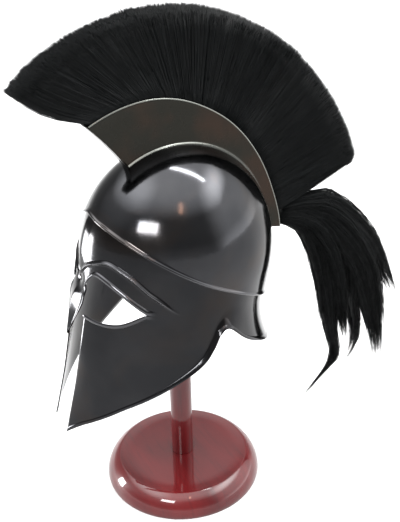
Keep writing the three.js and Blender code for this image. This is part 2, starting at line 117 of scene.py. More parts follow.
def skin_point(angle, z, proud):
    rise = np.maximum(0, z) / SKIN_HEIGHT
    scale = np.maximum(0, 1 - rise**RISE_POWER) ** (1 / RISE_POWER)
    plan_x, plan_y = plan_point(angle)
    x, y = plan_x * scale, plan_y * scale
    reach = np.where(plan_y < 0, SKIN_FRONT, SKIN_BACK)
    lateral = np.maximum(scale, 1e-6) ** (RISE_POWER - PLAN_POWER)
    normal = stack(
        lateral * (x / SKIN_HALF) ** (PLAN_POWER - 1) / SKIN_HALF,
        np.sign(y) * lateral * (np.abs(y) / reach) ** (PLAN_POWER - 1) / reach,
        rise ** (RISE_POWER - 1) / SKIN_HEIGHT)
    normal = normal / np.linalg.norm(normal, axis=-1, keepdims=True)
    proud = np.asarray(proud)[..., None]
    return stack(x, y + CROWN_SHIFT * rise, z) + normal * proud


def step_height(angle):
    """The line where the skull laps over the mask."""
    x, y = plan_point(angle)
    peak = 3 * np.maximum(0, 1 - x / 22)
    return np.where(y < 0, -8 - 0.24 * y + 0.0012 * y * y + peak, -8 - 0.24 * y - 0.0004 * y * y)


# ---------------------------------------------------------------- modelling helpers
def deselect():
    for thing in bpy.context.selected_objects:
        thing.select_set(False)


def named(name):
    piece = bpy.context.object
    piece.name = piece.data.name = name
    return piece


def get_points(piece):
    flat = np.empty(len(piece.data.vertices) * 3)
    piece.data.vertices.foreach_get("co", flat)
    return flat.reshape(-1, 3)


def set_points(piece, points):
    piece.data.vertices.foreach_set("co", (np.asarray(points) * MM).ravel())
    piece.data.update()


def add_values(piece, name, values):
    """A number for each point, that the piece's finish reads."""
    attribute = piece.data.attributes.new(name, "FLOAT", "POINT")
    spread = np.broadcast_to(np.asarray(values, np.float32), (len(piece.data.vertices),))
    attribute.data.foreach_set("value", np.ascontiguousarray(spread))


def formed_grid(name, columns, rows, place, painted_highlight=None):
    """A primitive grid carried by place(column, row), whole numbers from 0, in millimetres."""
    deselect()
    bpy.ops.mesh.primitive_grid_add(x_subdivisions=columns, y_subdivisions=rows, size=1)
    piece = named(name)
    points = get_points(piece)
    i = np.rint((points[:, 0] + 0.5) * columns).astype(int)
    j = np.rint((points[:, 1] + 0.5) * rows).astype(int)
    set_points(piece, place(i, j))
    # Painted highlight: how much lighter each point's steel is painted, read by the finish.
    if painted_highlight is not None:
        add_values(piece, "painted_highlight", painted_highlight(i, j))
    return piece


def modify(piece, kind, **settings):
    deselect()
    piece.select_set(True)
    bpy.context.view_layer.objects.active = piece
    modifier = piece.modifiers.new(kind.title(), kind)
    for key, value in settings.items():
        setattr(modifier, key, value)
    bpy.ops.object.modifier_apply(modifier=modifier.name)
    return piece


def edit(piece, *steps):
    """Runs edit-mode operators, each a (function, settings) pair, on the whole piece."""
    deselect()
    piece.select_set(True)
    bpy.context.view_layer.objects.active = piece
    bpy.ops.object.mode_set(mode="EDIT")
    bpy.ops.mesh.select_all(action="SELECT")
    for step, settings in steps:
        step(**settings)
    bpy.ops.object.mode_set(mode="OBJECT")
    return piece


def weld(piece):
    ops = bpy.ops.mesh
    return edit(piece, (ops.remove_doubles, {"threshold": 2e-5}),
                (ops.dissolve_degenerate, {"threshold": 1e-6}),
                (ops.normals_make_consistent, {"inside": False}))


def closed(piece):
    """Welds a formed piece and fills its open ends."""
    ops = bpy.ops.mesh
    return edit(weld(piece), (ops.select_all, {"action": "DESELECT"}),
                (ops.select_non_manifold, {}), (ops.fill_holes, {"sides": 0}),
                (ops.select_all, {"action": "SELECT"}), (ops.quads_convert_to_tris, {}),
                (ops.normals_make_consistent, {"inside": False}))


def joined(name, *pieces):
    deselect()
    for piece in pieces:
        piece.select_set(True)
    bpy.context.view_layer.objects.active = pieces[0]
    bpy.ops.object.join()
    return named(name)


def smooth_shaded(piece, degrees=40):
    deselect()
    piece.select_set(True)
    bpy.context.view_layer.objects.active = piece
    bpy.ops.object.shade_smooth_by_angle(angle=math.radians(degrees))
    return piece


def outward(piece, direction_of):
    """Turns an open sheet's faces to point along direction_of(centre)."""
    polygons = piece.data.polygons
    votes = sum(np.sign(Vector(p.normal).dot(Vector(direction_of(p.center)))) * p.area
                for p in polygons)
    if votes < 0:
        edit(piece, (bpy.ops.mesh.flip_normals, {}))
    return piece


# ---------------------------------------------------------------- finishes
class Wire:
    """A node's output, with Python's operators as Math nodes."""

    def __init__(self, finish, socket):
        self.finish, self.socket = finish, socket

    def maths(self, operation, *values):
        return self.finish.add("Math", {"operation": operation}, dict(enumerate(values)))

    def __add__(self, other): return self.maths("ADD", self, other)
    def __mul__(self, other): return self.maths("MULTIPLY", self, other)


class Finish:
    """A material, and the one method that adds a node to it."""

    def __init__(self, name, **settings):
        self.material = bpy.data.materials.new(name)
        self.material.use_nodes = True
        self.tree = self.material.node_tree
        self.shader = self.tree.nodes["Principled BSDF"]
        for key, value in settings.items():
            self.shader.inputs[key.replace("_", " ")].default_value = value

    def feed(self, socket, value):
        if isinstance(value, Wire):
            self.tree.links.new(value.socket, socket)
        else:
            socket.default_value = value

    def add(self, kind, settings=None, inputs=None, out=0):
        node = self.tree.nodes.new("ShaderNode" + kind)
        for key, value in (settings or {}).items():
            setattr(node, key, value)
        for key, value in (inputs or {}).items():
            self.feed(node.inputs[key], value)
        return Wire(self, node.outputs[out])

    def drive(self, name, value):
        self.feed(self.shader.inputs[name], value)

    def noise(self, scale, detail=2.0, roughness=0.5, stretch=(1, 1, 1), distortion=0.0):
        place = self.add("TexCoord", out="Object")
        place = self.add("Mapping", {}, {"Vector": place, "Scale": stretch})
        return self.add("TexNoise", {}, {"Vector": place, "Scale": scale, "Detail": detail,
                                         "Roughness": roughness, "Distortion": distortion})

    def blend(self, amount, first, second):
        return self.add("Mix", {"data_type": "RGBA"}, {0: amount, 6: first, 7: second}, out=2)

    def band(self, value, low, high, bottom=0.0, top=1.0):
        return self.add("MapRange", {}, {"Value": value, "From Min": low, "From Max": high,
                                         "To Min": bottom, "To Max": top})

    def bump(self, height, distance, strength=1.0, under=None):
        inputs = {"Height": height, "Distance": distance, "Strength": strength}
        if under is not None:
            inputs["Normal"] = under
        return self.add("Bump", {}, inputs)


def rgb(r, g, b):
    return (r, g, b, 1.0)


def polished_steel(name, depth):
    """Blackened steel polished to a mirror, a little wavy from the hammer and faintly browned, with
    highlights painted lighter along its rims. depth is how much of the light it gives back."""
    f = Finish(name, Metallic=1.0)

    def shade(*tone):
        return rgb(*(depth * c for c in tone))

    stain = f.band(f.noise(9, 4, 0.55, distortion=0.6), 0.52, 0.74)
    tint = f.blend(stain, shade(1, 1.02, 1.1), shade(1.45, 1.22, 1.1))
    cloud = f.band(f.noise(26, 3), 0.42, 0.68)
    tint = f.blend(cloud * 0.5, tint, shade(1.35, 1.35, 1.42))
    # Painted highlight: points with painted_highlight values get a lighter grey steel colour.
    painted_highlight_share = f.add("Attribute", {"attribute_name": "painted_highlight"}, out="Fac")
    f.drive("Base Color", f.blend(painted_highlight_share, tint, rgb(0.17, 0.17, 0.18)))
    smear = f.band(f.noise(30, 6, 0.6, stretch=(1, 1, 0.3)), 0.35, 0.75)
    f.drive("Roughness", smear * 0.08 + 0.09)
    waves = f.bump(f.noise(17, 1.5), 0.004, 0.2)
    f.drive("Normal", f.bump(f.noise(160, 2), 0.0006, 0.05, waves))
    return f.material


def crest_steel():
    """The same steel left satin, with highlights painted lighter along its cut edges."""
    f = Finish("crest_steel", Metallic=1.0)
    stain = f.band(f.noise(12, 3, 0.5), 0.5, 0.75)
    tint = f.blend(stain, rgb(0.019, 0.0185, 0.016), rgb(0.034, 0.022, 0.017))
    # Painted highlight: the rim and flange edges get a lighter grey-green colour.
    painted_highlight_share = f.add("Attribute", {"attribute_name": "painted_highlight"}, out="Fac")
    f.drive("Base Color", f.blend(painted_highlight_share, tint, rgb(0.24, 0.25, 0.23)))
    f.drive("Roughness", f.band(f.noise(45, 5), 0.3, 0.7, 0.22, 0.34))
    f.drive("Normal", f.bump(f.noise(220, 3), 0.0005, 0.08))
    return f.material


def horsehair(name, tone):
    """Black horsehair, each hair slightly lighter or browner than the next."""
    f = Finish(name, IOR=1.5, Specular_IOR_Level=0.10)
    shade = f.add("Attribute", {"attribute_name": "shade"}, out="Fac")
    dark, light = (rgb(*(c * k for c in tone)) for k in (0.5, 1.6))
    f.drive("Base Color", f.blend(shade, dark, light))
    f.drive("Roughness", f.band(f.noise(80, 2), 0.3, 0.7, 0.36, 0.55))
    return f.material


def lacquered_wood():
    """Dark red mahogany stain with fine pores and slow figure, under a thick gloss lacquer."""
    f = Finish("lacquered_wood", Roughness=0.35, Specular_IOR_Level=0.1, Coat_Roughness=0.03,
               Coat_IOR=1.38)
    figure = f.noise(16, 4, 0.55, stretch=(0.25, 1, 0.12), distortion=0.8)
    pores = f.noise(260, 2, 0.5, stretch=(0.06, 1, 0.05))
    tone = f.blend(f.band(figure, 0.35, 0.7), rgb(0.044, 0.0022, 0.003), rgb(0.078, 0.0042, 0.005))
    dark = f.band(pores, 0.56, 0.70)
    f.drive("Base Color", f.blend(dark * 0.3, tone, rgb(0.018, 0.002, 0.003)))
    f.drive("Coat Weight", f.band(f.noise(12, 2), 0.2, 0.8, 1.0, 0.92))
    f.drive("Normal", f.bump(pores, 0.0004, 0.10))
    return f.material


def pale_floor():
    f = Finish("pale_floor", Roughness=0.6)
    grey = f.band(f.noise(1.3, 2), 0.3, 0.7)
    f.drive("Base Color", f.blend(grey, rgb(0.44, 0.44, 0.44), rgb(0.45, 0.45, 0.45)))
    return f.material


# The mask's copy of the one steel gives back about half the skull's light: painted shade, darker.
SKULL_STEEL = polished_steel("polished_steel_skull", 0.030)
MASK_STEEL_PAINTED_DARKER = polished_steel("polished_steel_mask_painted_darker", 0.016)
CREST_STEEL = crest_steel()
HAIR = horsehair("horsehair", (0.0021, 0.0026, 0.0028))
WOOD = lacquered_wood()


def finished(piece, node, material, degrees=40):
    """Hands a finished piece to the frame: its body, its CAD node and its material."""
    piece.data.materials.clear()
    piece.data.materials.append(material)
    if degrees:
        smooth_shaded(piece, degrees)
    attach(piece, "root")
    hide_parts(node)
    return piece


# ---------------------------------------------------------------- the skull
BEAD_ROWS = np.array([0, 0.3, 0.7, 1.2, 1.8, 2.4, 2.9, 3.3, 3.7, 4.2, 4.9, 5.8, 7.0])
BEAD_LIFT = np.array([0.8, 1.15, 1.4, 1.5, 1.45, 1.25, 0.95, 0.7, 0.45, 0.25, 0.1, 0.03, 0])
SKULL_COLUMNS, SKULL_RISES = 112, 64


def skull_place(i, j):
    angle = math.pi * i / SKULL_COLUMNS
    foot = step_height(angle)
    start = np.arcsin((foot + BEAD_ROWS[-1]) / SKIN_HEIGHT)
    t = clamp01((j - len(BEAD_ROWS) + 1) / SKULL_RISES)
    bead = np.minimum(j, len(BEAD_ROWS) - 1)
    z = np.where(j < len(BEAD_ROWS), foot + BEAD_ROWS[bead],
                 SKIN_HEIGHT * np.sin(mix(start, math.pi / 2, t)))
    return on_stand(skin_point(angle, z, SKULL_PROUD + np.where(j < len(BEAD_ROWS),
                                                                BEAD_LIFT[bead], 0)))


def from_skull_middle(centre):
    return centre - Vector(SKULL_CENTRE) * MM


def sheet_metal(piece):
    """Mirrors a half, gives it the sheet's thickness inwards and softens its cut edges."""
    modify(piece, "MIRROR", use_axis=(True, False, False), use_clip=True,
           merge_threshold=1e-5)
    weld(piece)
    outward(piece, from_skull_middle)
    modify(piece, "SOLIDIFY", thickness=SHEET * MM, offset=-1, use_even_offset=True)
    modify(piece, "BEVEL", width=CUT_EDGE * MM, segments=2, limit_method="ANGLE",
           angle_limit=math.radians(60))
    return piece


# Painted highlight along the bead under the skull's edge, growing toward the rear, none in front.
def skull_painted_highlight(i, j):
    rear = smooth((i / SKULL_COLUMNS - 0.28) / 0.2)
    lift = BEAD_LIFT[np.minimum(j, len(BEAD_ROWS) - 1)] / 1.5
    return np.where(j < len(BEAD_ROWS), 0.32 * lift * rear, 0)


skull = formed_grid("helmet_skull", SKULL_COLUMNS, SKULL_RISES + len(BEAD_ROWS) - 1, skull_place,
                    skull_painted_highlight)
sheet_metal(skull)
finished(skull, "skull", SKULL_STEEL)

# ---------------------------------------------------------------- the mask
NASAL_EDGE, NASAL_ROOT, SLIT_EDGE = 19.3, -37.4, 24.1
upper_lid = through((19.3, -37.4), (24, -28), (32, -20), (43, -21.4), (62, -30.5), (84, -46))
lower_lid = through((24.1, -69.5), (45, -70), (61, -66.8), (71, -60.5), (84, -46))
brow_line = through((0, -30), (9, -21), (19, -11.3), (31, -4.9), (46, 0), (61.5, -4.5),
                    (75, -13), (87, -25))
cheek_hem = through((21.3, -226.5), (39, -209.5), (54, -196.5), (67.5, -183), (84, -163))

# Behind the eye: hem y and z, the y that the column reaches at the step, flare and its width.
SIDE = np.array([
    (-72, -163, -72, 0, 14), (-36, -132, -40, 1.5, 14), (-6, -102, -15, 4.5, 15),
    (3.6, -81, -4, 6.5, 16), (9.5, -61.5, 8, 7, 18), (21, -55, 22, 7.5, 24),
    (50, -73.5, 50, 11, 42), (84, -88, 84, 15, 50), (121, -103.5, 121, 21, 60)], float)
STATION = np.arange(len(SIDE))
side_hem_y, side_hem_z, side_top_y, side_flare, side_width = (
    through(*zip(STATION, column)) for column in SIDE.T)
side_brow = through((0, -22), (0.35, -28.5), (0.72, -36.6), (1.1, -43))
FRONT_X = np.concatenate([
    np.linspace(0, NASAL_EDGE, 15), np.linspace(NASAL_EDGE, SLIT_EDGE, 5)[1:],
    np.linspace(SLIT_EDGE, 84.1, 40)[1:-1]])
STATIONS = np.linspace(0, 8, 89)
EDGE_COLUMN, SLIT_COLUMN = 14, 18


def column_fields():
    """What every column of the mask's half needs, from the middle of the face to the nape."""
    x, s = FRONT_X, STATIONS
    lean = 2.8 * clamp01(1 - (x - SLIT_EDGE) / 20)
    top_front = angle_at_x(x)
    top_side = angle_at_y(side_top_y(s))
    hem, top = side_hem_z(s), step_height(top_side)
    split = mix(-46, mix(hem, top, mix(0.64, 0.5, clamp01(s / 5))), smooth(s / 1.2))
    brow = mix(side_brow(s), mix(split, top, 0.4), smooth((s - 0.8) / 1.2))
    zero = np.zeros(len(x))
    fields = {
        "x": (x, plan_point(top_side)[0]),
        "low": (angle_at_x(np.maximum(0, x - lean)), angle_at_y(side_hem_y(s))),
        "turn": (top_front, top_side),
        "hem": (cheek_hem(x - lean), hem),
        "lower": (lower_lid(x), split),
        "upper": (np.where(x < NASAL_EDGE - 1e-6, NASAL_ROOT, upper_lid(x)), split),
        "brow": (brow_line(x), brow),
        "flare": (zero, side_flare(s)),
        "width": (zero + 14, side_width(s)),
        "kick": (clamp01(1 - (x - SLIT_EDGE) / 22), s * 0),
        "fade": (zero, smooth(s / 1.1)),
        "lid": (zero + 1, 1 - smooth((s + 0.05) / 0.3)),
    }
    fields = {name: np.concatenate(pair) for name, pair in fields.items()}
    fields["top"] = step_height(fields["turn"])
    return fields


C = column_fields()


def steepness(name):
    """How much taller a band across a sloping line has to be to keep its width."""
    x, y = plan_point(C["turn"])
    along = np.hypot(np.gradient(x), np.gradient(y))
    return np.minimum(2.2, np.hypot(1, np.gradient(C[name]) / np.maximum(along, 1e-6)))


BEAD = np.array([0, 0.05, 0.13, 0.25, 0.4, 0.55, 0.7, 0.82, 0.92, 1.0, 1.12])
HEM_BEAD, EYE_BEAD = (4.2, 0.75), (5.4, 1.9)
BROW_BELOW, BROW_ABOVE, BROW_HEIGHT = 2.6, 3.6, 2.3


def bead_lift(t):
    """A rolled border: high near the edge, and down to the sheet at its inner side."""
    return np.where(t < 1, np.sin(math.pi * (0.22 + 0.78 * clamp01(t))) ** 0.8, 0)


def mask_place(i, z, proud):
    span = C["top"][i] - C["hem"][i]
    t = clamp01((z - C["hem"][i]) / span)
    angle = mix(C["low"][i], C["turn"][i], t)
    flare = C["flare"][i] * np.maximum(0, 1 - (z - C["hem"][i]) / C["width"][i]) ** 2
    kick = 3 * C["kick"][i] * smooth((-150 - z) / 76)
    x = C["x"][i]
    keel = 1.8 * np.maximum(0, 1 - x / 14) * smooth((z + 12) / 10) * smooth((C["top"][i] - z) / 9)
    root = -4 * np.exp(-(((z + 33) / 8) ** 2)) * np.exp(-((x / 10) ** 2))
    relief = np.where(x < NASAL_EDGE, keel + root, 0)
    return skin_point(angle, z, MASK_PROUD + proud + flare + kick + relief)


def cheek_place(i, j):
    i = i + SLIT_COLUMN
    hem, lower = C["hem"][i], C["lower"][i]
    low = np.minimum(HEM_BEAD[0] * HEM_STEEP[i], 0.2 * (lower - hem))
    high = np.minimum(EYE_BEAD[0] * LOWER_STEEP[i], 0.2 * (lower - hem))
    last = len(BEAD) - 1
    eye = EYE_BEAD[1] * C["lid"][i]
    bead = np.minimum(j, last)
    rest = np.clip(CHEEK_ROWS - j, 0, last)
    t = clamp01((j - last) / (CHEEK_ROWS - 2 * last))
    z = np.where(j <= last, hem + low * BEAD[bead],
                 np.where(CHEEK_ROWS - j <= last, lower - high * BEAD[rest],
                          mix(hem + low * BEAD[-1], lower - high * BEAD[-1], t)))
    proud = np.where(j <= last, HEM_BEAD[1] * bead_lift(BEAD[bead]),
                     np.where(CHEEK_ROWS - j <= last, eye * bead_lift(BEAD[rest]), 0))
    return on_stand(mask_place(i, z, proud))


# Painted highlight on the rolled borders: stronger on the lower eyelid's bead, faint on the hem.
def cheek_painted_highlight(i, j):
    last = len(BEAD) - 1
    lid = 0.22 * C["lid"][i + SLIT_COLUMN] * bead_lift(BEAD[np.clip(CHEEK_ROWS - j, 0, last)])
    hem = 0.04 * bead_lift(BEAD[np.minimum(j, last)])
    return np.where(j <= last, hem, np.where(CHEEK_ROWS - j <= last, lid, 0))


RIDGE = np.concatenate([np.linspace(-1, 0, 8), np.linspace(0, 1, 10)[1:]])
CHEEK_ROWS = 2 * (len(BEAD) - 1) + 26
BROW_PARTS = (len(BEAD) - 1, 5, len(RIDGE) - 1, 18, 2)
BROW_ROWS = sum(BROW_PARTS)


def brow_place(i, j):
    upper, brow, top = C["upper"][i], C["brow"][i], C["top"][i]
    reach = brow - upper
    eye = np.where(C["x"][i] < NASAL_EDGE - 0.5, 0, EYE_BEAD[1] * C["lid"][i])
    band = np.minimum(EYE_BEAD[0] * UPPER_STEEP[i], 0.36 * reach)
    below = np.minimum(BROW_BELOW * BROW_STEEP[i], 0.34 * reach)
    above = np.minimum(BROW_ABOVE * BROW_STEEP[i], 0.5 * (top - brow))
    a, b, c, d, _ = np.cumsum(BROW_PARTS)
    bead = BEAD[np.minimum(j, a)]
    ridge = RIDGE[np.clip(j - b, 0, len(RIDGE) - 1)]
    ridge_z = brow + np.where(ridge < 0, ridge * below, ridge * above)
    z = np.select(
        [j <= a, j <= b, j <= c, j <= d],
        [upper + band * bead, mix(upper + band * BEAD[-1], brow - below, (j - a) / (b - a)),
         ridge_z, mix(brow + above, top, (j - c) / (d - c))],
        top + LAP * (j - d) / 2)
    lift = BROW_HEIGHT * (1 - C["fade"][i]) * np.where(
        ridge < 0, smooth(1 + ridge) ** 0.7, 1 - smooth(ridge) ** 0.8)
    proud = np.where(j <= a, eye * bead_lift(bead), np.where((j > b) & (j <= c), lift, 0))
    return on_stand(mask_place(i, z, proud))


# Painted highlight along the upper eyelid's bead and the brow ridge's crest, faded near the nasal.
def brow_painted_highlight(i, j):
    a, b, c = np.cumsum(BROW_PARTS)[:3]
    aside = smooth((C["x"][i] - 22) / 14)
    lid = 0.30 * C["lid"][i] * aside * bead_lift(BEAD[np.minimum(j, a)])
    ridge = RIDGE[np.clip(j - b, 0, len(RIDGE) - 1)]
    crest = 0.45 * aside * (1 - C["fade"][i]) * np.exp(-(((ridge + 0.05) / 0.3) ** 2))
    return np.where(j <= a, lid, np.where((j > b) & (j <= c), crest, 0))


HEM_STEEP, LOWER_STEEP, UPPER_STEEP, BROW_STEEP = (
    steepness(name) for name in ("hem", "lower", "upper", "brow"))

nasal_half = through((-103, 0.8), (-80, 11.4), (-57, 21.8), (-48, 21.8), (-37.4, 19.3))
nasal_keel = through((-103, -129.6), (-78, -130.4), (-59, -129.6), (-37.4, -122.6))
nasal_side = through((-103, -129.2), (-78, -125.4), (-57, -123.4), (-37.4, -121.4))
NASAL_ROWS = 40


def nasal_place(i, j):
    """The nasal: a keeled leaf that hangs from the brow, with a slightly raised border."""
    z = mix(-103, NASAL_ROOT, j / NASAL_ROWS)
    across = FRONT_X[i] / NASAL_EDGE
    skin = mask_place(i, z, 0)
    fall = smooth((NASAL_ROOT - z) / 12)
    border = 0.9 * smooth((across - 0.8) / 0.12) * fall
    y = mix(nasal_keel(z), nasal_side(z), across) - border
    x = mix(skin[..., 0], across * nasal_half(z), clamp01((NASAL_ROOT - z) / 0.5))
    return on_stand(stack(x, mix(skin[..., 1], y, fall), z))


LAST = len(C["x"]) - 1
mask = joined(
    "helmet_mask",
    formed_grid("cheek", LAST - SLIT_COLUMN, CHEEK_ROWS, cheek_place, cheek_painted_highlight),
    formed_grid("brow", LAST, BROW_ROWS, brow_place, brow_painted_highlight),
    formed_grid("nasal", EDGE_COLUMN, NASAL_ROWS, nasal_place))
sheet_metal(mask)
finished(mask, "mask", MASK_STEEL_PAINTED_DARKER)

# ---------------------------------------------------------------- the crest holder
CREST_Y, CREST_HALF = -6.0, 11.0
FRONT_LOW, FRONT_HIGH, REAR_LOW, REAR_HIGH = -37.6, -42.6, 73.6, 75.4
crest_height = through((-43, 64.5), (-16, 54.5), (9, 37.3), (33, 22.5), (54, 16.5), (76, 19.5))


def skull_radius(degrees, x=0.0):
    """Distance from the crest's centre to the skull's outer face, at x across, by halving."""
    degrees, x = np.broadcast_arrays(np.asarray(degrees, float), np.asarray(x, float))
    angle = np.radians(degrees)
    low, high = np.full(angle.shape, 60.0), np.full(angle.shape, 200.0)
    for _ in range(40):
        r = (low + high) / 2
        z = np.maximum(r * np.cos(angle), 0)
        y = CREST_Y + r * np.sin(angle) - CROWN_SHIFT * z / SKIN_HEIGHT
        reach = np.where(y < 0, SKIN_FRONT, SKIN_BACK)
        plan = (np.abs(x) / SKIN_HALF) ** PLAN_POWER + (np.abs(y) / reach) ** PLAN_POWER
        inside = plan ** (RISE_POWER / PLAN_POWER) + (z / SKIN_HEIGHT) ** RISE_POWER < 1
        low, high = np.where(inside, r, low), np.where(inside, high, r)
    return low + SKULL_PROUD


def crest_point(x, degrees, radius):
    angle = np.radians(degrees)
    return stack(x, CREST_Y + radius * np.sin(angle), radius * np.cos(angle))


def low_angle(s):
    return mix(FRONT_LOW, REAR_LOW, s)


def high_angle(s):
    return mix(FRONT_HIGH, REAR_HIGH, s)


def crest_wall(s, x, share, lift=0.0):
    """A point of the crest's crescent: share 0 on the skull at x, 1 at the holder's mouth."""
    low, high = low_angle(s), high_angle(s)
    foot = skull_radius(low, x) + 0.05
    mouth = skull_radius(high) + crest_height(high)
    return crest_point(x, mix(low, high, share), mix(foot, mouth, share) + lift)


# The trough's section, from the left flange over the rim, down inside and up again, as
# (x, share of the height, lift in millimetres).
HALF_SECTION = [
    (13.2, 0, 0.05), (13.2, 0, 0.5), (12.4, 0, 0.95), (11.7, 0, 1.35), (11.15, 0, 2.0),
    (11, 0, 3.2), (11, 0.25, 0), (11, 0.5, 0), (11, 0.75, 0), (11, 1, -3.2), (11.15, 1, -2.6),
    (11.5, 1, -2.0), (11.75, 1, -1.2), (11.6, 1, -0.5), (11.1, 1, -0.1), (10.5, 1, 0),
    (9.9, 1, -0.2), (9.6, 1, -0.7), (9.6, 1, -2.0), (9.6, 0.5, 0), (9.6, 0, 2.6), (9.2, 0, 2.1),
]
SECTION = ([(-x, share, lift) for x, share, lift in HALF_SECTION]
           + HALF_SECTION[::-1])
SECTION = np.array(SECTION + [SECTION[0]])
CREST_STEPS = 120


def trough_place(i, j):
    x, share, lift = SECTION[j].T
    return on_stand(crest_wall(i / CREST_STEPS, x, share, lift))


def plate(name, start, thickness):
    """The sheet that closes one end of the trough."""
    deselect()
    bpy.ops.mesh.primitive_cube_add(size=1)
    piece = named(name)
    edit(piece, (bpy.ops.mesh.subdivide, {"number_cuts": 5}))
    u = get_points(piece) + 0.5
    set_points(piece, on_stand(crest_wall(
        start + (u[:, 1] - 0.5) * thickness, (u[:, 0] - 0.5) * 2 * (CREST_HALF - 0.3), u[:, 2],
        mix(0.3, -0.6, u[:, 2]))))
    modify(piece, "BEVEL", width=0.3 * MM, segments=2, limit_method="ANGLE",
           angle_limit=math.radians(60))
    return piece


# Painted highlight on the crest holder's rim and on the outer edges of its flanges.
def trough_painted_highlight(i, j):
    x, share, lift = np.abs(SECTION[j].T)
    rim = (share > 0.9) & (lift < 1.6) & (x > 10)
    flange = (share < 0.1) & (x > 11.3)
    return np.where(rim, 0.6, np.where(flange, 0.42, 0.0))


trough = closed(formed_grid("trough", CREST_STEPS, len(SECTION) - 1, trough_place, trough_painted_highlight))
holder = joined("crest_holder_sheet", trough,
                plate("front_plate", 0.0, 0.009), plate("rear_plate", 1.0, 0.009))
finished(holder, "crest_holder", CREST_STEEL)


# ---------------------------------------------------------------- horsehair
def hair_mesh(name, paths, radii, shades):
    """Hairs as slim three-sided tubes that end in a point. paths is (hair, point, xyz) in mm."""
    count, length, _ = paths.shape
    tangent = np.gradient(paths, axis=1)
    tangent /= np.linalg.norm(tangent, axis=2, keepdims=True)
    side = np.cross(tangent, np.array([0.31, 0.52, 0.79]))
    side /= np.linalg.norm(side, axis=2, keepdims=True)
    other = np.cross(tangent, side)
    rings = []
    for k in range(3):
        turn = 2 * math.pi * k / 3
        rings.append(paths + radii[..., None] * (side * math.cos(turn) + other * math.sin(turn)))
    body = np.stack(rings, axis=2)[:, :-1]
    tips = paths[:, -1:]
    per = (length - 1) * 3 + 1
    points = np.concatenate([body.reshape(count, -1, 3), tips], axis=1).reshape(-1, 3)
    faces = [(0, 2, 1)]
    for ring in range(length - 2):
        for k in range(3):
            a, b = ring * 3 + k, ring * 3 + (k + 1) % 3
            faces += [(a, b, b + 3), (a, b + 3, a + 3)]
    last = (length - 2) * 3
    faces += [(last + k, last + (k + 1) % 3, per - 1) for k in range(3)]
    faces = np.array(faces)
    every = (faces[None] + (np.arange(count) * per)[:, None, None]).reshape(-1, 3)
    mesh = bpy.data.meshes.new(name)
    mesh.vertices.add(len(points))
    mesh.vertices.foreach_set("co", (points * MM).ravel())
    mesh.loops.add(every.size)
    mesh.loops.foreach_set("vertex_index", every.ravel().astype(np.int32))
    mesh.polygons.add(len(every))
    mesh.polygons.foreach_set("loop_start", np.arange(0, every.size, 3, dtype=np.int32))
    mesh.update(calc_edges=True)
    mesh.validate()
    attribute = mesh.attributes.new("shade", "FLOAT", "POINT")
    attribute.data.foreach_set("value", np.repeat(shades, per).astype(np.float32))
    mesh.polygons.foreach_set("use_smooth", np.ones(len(every), bool))
    piece = bpy.data.objects.new(name, mesh)
    bpy.context.collection.objects.link(piece)
    return piece


BRUSH_FROM, BRUSH_TO, BRUSH_ROOT, BRUSH_TIP = 0.01, 0.93, 9.0, 27.0
# The foremost hairs hang a little below their own line, square to it in y and z.
FRONT_SAG, SAG_TOWARD = 7.5, (-0.64, -0.77)
trimmed = through((0, 275), (0.15, 279), (0.35, 284), (0.5, 280.5), (0.7, 273.5), (0.88, 271.5),
                  (1, 271))
brush_tip = through((0, -52.5), (0.12, -41), (0.5, 13), (0.88, 54), (1, 61))


def brush_path(s, u, r, reach, fan=0.0):
    """Points of hairs: s along the crest, u across from -1 to 1, r from the mouth to the tip."""
    high = high_angle(mix(BRUSH_FROM, BRUSH_TO, s))
    mouth = crest_point(0 * s, high, skull_radius(high) + crest_height(high))
    tip = crest_point(0 * s, brush_tip(s) + fan, reach)
    ends = mix(0.5, 1, smooth(12 * np.minimum(s, 1 - s)))
    half = mix(BRUSH_ROOT, mix(BRUSH_ROOT, BRUSH_TIP, np.clip(r, 0, 2) ** 0.8), ends)
    points = mouth + (tip - mouth) * r[..., None]
    sag = FRONT_SAG * np.sin(math.pi * clamp01(r)) * smooth(1 - s / 0.1)
    points[..., 1] += SAG_TOWARD[0] * sag
    points[..., 2] += SAG_TOWARD[1] * sag
    points[..., 0] = u * half
    return points


CORE_COLUMNS, CORE_ROWS = 150, 40
core_v = np.linspace(0, 2 * math.pi, CORE_ROWS + 1)


def core_place(i, j):
    s = mix(0.004, 0.996, i / CORE_COLUMNS)
    turn = core_v[j]
    r = 0.5 - 0.53 * np.cos(turn)
    u = np.sign(np.sin(turn)) * np.abs(np.sin(turn)) ** 0.35 * 0.86
    ripple = 1 - 0.05 * np.abs(np.sin(47 * math.pi * s)) * clamp01(r)
    return on_stand(brush_path(s, u * ripple, r * 0.96 - 0.02, trimmed(s) - 3))


core = closed(formed_grid("brush_heart", CORE_COLUMNS, CORE_ROWS, core_place))
add_values(core, "shade", 0.1)
finished(core, "crest_brush", HAIR, 180)

BRUSH_CLUMPS, BRUSH_PIECES = 190, 2
HAIRS_PER_PIECE, HAIR_POINTS = 6400, 6
BRISTLES_PER_PIECE, BRISTLE_POINTS = 12500, 3


